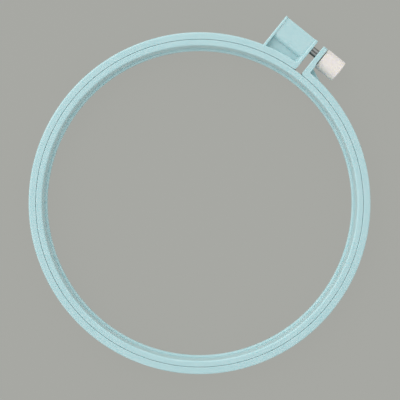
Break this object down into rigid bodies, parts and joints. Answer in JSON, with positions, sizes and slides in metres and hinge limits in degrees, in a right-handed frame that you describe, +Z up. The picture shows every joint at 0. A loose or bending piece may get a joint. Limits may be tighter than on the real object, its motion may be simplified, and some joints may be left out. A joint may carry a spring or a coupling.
{
  "type": "embroidery hoop",
  "caption": "Round embroidery hoop: a lipped inner hoop inside an outer hoop that is cut through and drawn together by a clamp screw with a knob.",
  "frame": {"origin": "on the hoops' common axis, in the plane of the underside, where the lip around the foot of the inner hoop begins", "axes": "+Z up along the hoops' axis, out of the face that the work is seen from; +Y towards the clamp; +X along the clamp screw towards its knob"},
  "size_m": [0.193, 0.2109, 0.014],
  "materials": {
    "hoop_plastic": "satin moulded plastic, pale aqua",
    "knob_plastic": "satin moulded plastic, off-white",
    "zinc_plated_steel": "bright zinc plate"
  },
  "bodies": {
    "outer_hoop_body": {"outer_hoop_nut_side": "hoop_plastic", "captive_nut": "zinc_plated_steel"},
    "outer_hoop_free_arm": {"outer_hoop_free_side": "hoop_plastic"},
    "inner_hoop_body": {"inner_hoop": "hoop_plastic"},
    "washer_body": {"knob_washer": "zinc_plated_steel"},
    "screw_body": {"clamp_screw": "zinc_plated_steel", "screw_knob": "knob_plastic"}
  },
  "joints": [
    {"name": "washer_travel", "type": "slide", "parent": "outer_hoop_body", "child": "washer_body", "axis": [1, 0, 0], "range_m": [0, 0.00423]},
    {"name": "screw_spin", "type": "hinge", "parent": "washer_body", "child": "screw_body", "pos_m": [0, 0.108, 0.007], "axis": [1, 0, 0], "range_deg": [0, 1440]},
    {"name": "hoop_flex", "type": "hinge", "parent": "outer_hoop_body", "child": "outer_hoop_free_arm", "pos_m": [0, -0.09655, 0], "axis": [0, 0, 1], "range_deg": [-1.2, 0]},
    {"name": "inner_hoop_lift", "type": "slide", "parent": "outer_hoop_body", "child": "inner_hoop_body", "axis": [0, 0, 1], "range_m": [0, 0.025]}
  ],
  "couplings": [
    {"joint": "screw_spin", "follows": "washer_travel", "rad_per_m": 5936.9},
    {"joint": "hoop_flex", "follows": "washer_travel", "rad_per_m": -4.8888}
  ]
}
